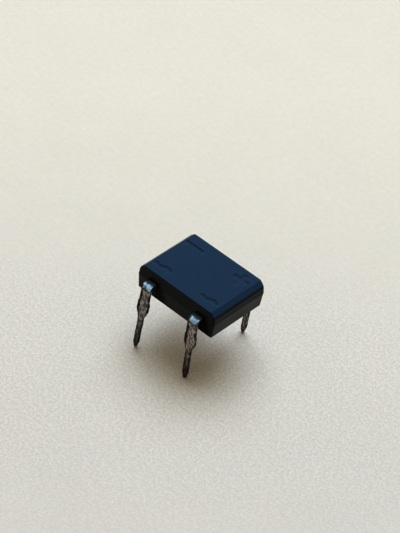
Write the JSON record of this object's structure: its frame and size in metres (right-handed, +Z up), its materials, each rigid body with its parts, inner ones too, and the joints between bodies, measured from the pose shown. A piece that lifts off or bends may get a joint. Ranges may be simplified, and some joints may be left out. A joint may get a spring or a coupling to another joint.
{
  "type": "bridge rectifier",
  "caption": "Black epoxy rectifier block with chamfered ends and flat round-ended leads bent down from its long sides, crusted with old solder.",
  "frame": {"origin": "middle of the part's box at the height of the lead tips, where it stands; the middle of the moulding is on the Z axis", "axes": "+X along the moulding with the plus and AC 2 leads at +X, +Y across it towards the two output leads, +Z up out of the marked face"},
  "size_m": [0.0082, 0.0083, 0.0076],
  "materials": {
    "epoxy": "fine-sparked black moulding compound, slightly glossy",
    "tinned_copper": "bright tin over copper strip",
    "silicon": "lapped silicon with a glass-passivated mesa",
    "die_solder": "dull high-lead solder",
    "burnt_solder": "dull grey solder under scorched brown flux"
  },
  "bodies": {
    "root": {"moulded_body": "epoxy", "ac_lead_1": "tinned_copper", "ac_lead_2": "tinned_copper", "negative_lead": "tinned_copper", "positive_lead": "tinned_copper", "diode_1": "silicon", "diode_2": "silicon", "diode_3": "silicon", "diode_4": "silicon", "diode_1_lower_solder": "die_solder", "diode_2_lower_solder": "die_solder", "diode_3_lower_solder": "die_solder", "diode_4_lower_solder": "die_solder", "diode_1_upper_solder": "die_solder", "diode_2_upper_solder": "die_solder", "diode_3_upper_solder": "die_solder", "diode_4_upper_solder": "die_solder", "old_solder_ac_1": "burnt_solder", "old_solder_ac_2": "burnt_solder", "old_solder_negative": "burnt_solder", "old_solder_positive": "burnt_solder"}
  },
  "joints": []
}
